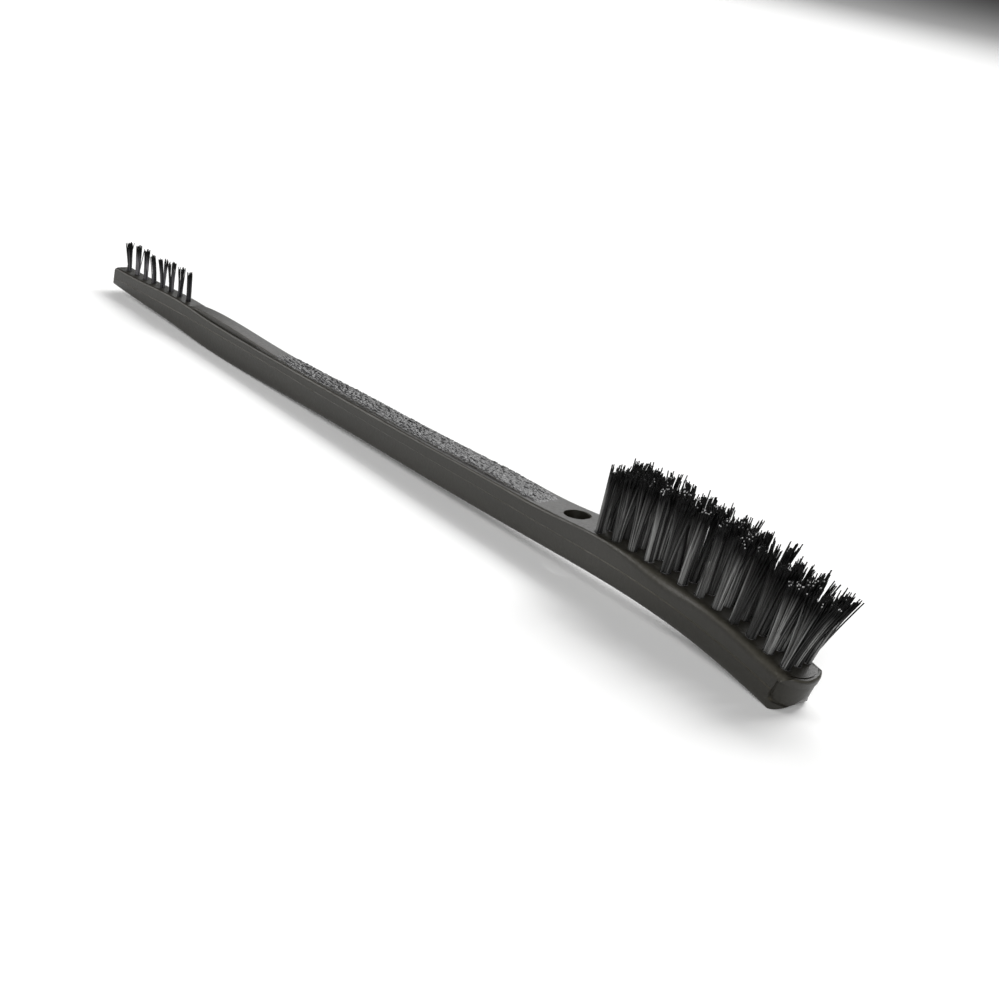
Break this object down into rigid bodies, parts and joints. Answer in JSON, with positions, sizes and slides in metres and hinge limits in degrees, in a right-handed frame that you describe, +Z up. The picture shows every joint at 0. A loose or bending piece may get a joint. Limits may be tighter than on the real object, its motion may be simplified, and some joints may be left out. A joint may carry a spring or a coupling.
{
  "type": "double-ended cleaning brush",
  "caption": "Slim moulded brush with a rows-of-tufts head at one end, a fine single-row head at the other and a hang hole.",
  "frame": {"origin": "bottom centre of the bounding box, brush lying bristles up on a level surface", "axes": "+X along the handle towards the large head, +Z up out of the tufted faces, +Y across the handle"},
  "size_m": [0.1834, 0.0092, 0.0205],
  "materials": {
    "handle": "satin moulded, dark grey",
    "large_bristle": "glossy black filament",
    "small_bristle": "glossy black filament",
    "anchor": "drawn flat wire"
  },
  "bodies": {
    "root": {"handle": "handle", "large_anchors_far": "anchor", "large_anchors_middle": "anchor", "large_anchors_near": "anchor", "large_tuft_far_01": "large_bristle", "large_tuft_far_02": "large_bristle", "large_tuft_far_03": "large_bristle", "large_tuft_far_04": "large_bristle", "large_tuft_far_05": "large_bristle", "large_tuft_far_06": "large_bristle", "large_tuft_far_07": "large_bristle", "large_tuft_far_08": "large_bristle", "large_tuft_far_09": "large_bristle", "large_tuft_far_10": "large_bristle", "large_tuft_far_11": "large_bristle", "large_tuft_far_12": "large_bristle", "large_tuft_middle_01": "large_bristle", "large_tuft_middle_02": "large_bristle", "large_tuft_middle_03": "large_bristle", "large_tuft_middle_04": "large_bristle", "large_tuft_middle_05": "large_bristle", "large_tuft_middle_06": "large_bristle", "large_tuft_middle_07": "large_bristle", "large_tuft_middle_08": "large_bristle", "large_tuft_middle_09": "large_bristle", "large_tuft_middle_10": "large_bristle", "large_tuft_middle_11": "large_bristle", "large_tuft_middle_12": "large_bristle", "large_tuft_near_01": "large_bristle", "large_tuft_near_02": "large_bristle", "large_tuft_near_03": "large_bristle", "large_tuft_near_04": "large_bristle", "large_tuft_near_05": "large_bristle", "large_tuft_near_06": "large_bristle", "large_tuft_near_07": "large_bristle", "large_tuft_near_08": "large_bristle", "large_tuft_near_09": "large_bristle", "large_tuft_near_10": "large_bristle", "large_tuft_near_11": "large_bristle", "large_tuft_near_12": "large_bristle", "small_anchors": "anchor", "small_tuft_01": "small_bristle", "small_tuft_02": "small_bristle", "small_tuft_03": "small_bristle", "small_tuft_04": "small_bristle", "small_tuft_05": "small_bristle", "small_tuft_06": "small_bristle", "small_tuft_07": "small_bristle", "small_tuft_08": "small_bristle"}
  },
  "joints": []
}
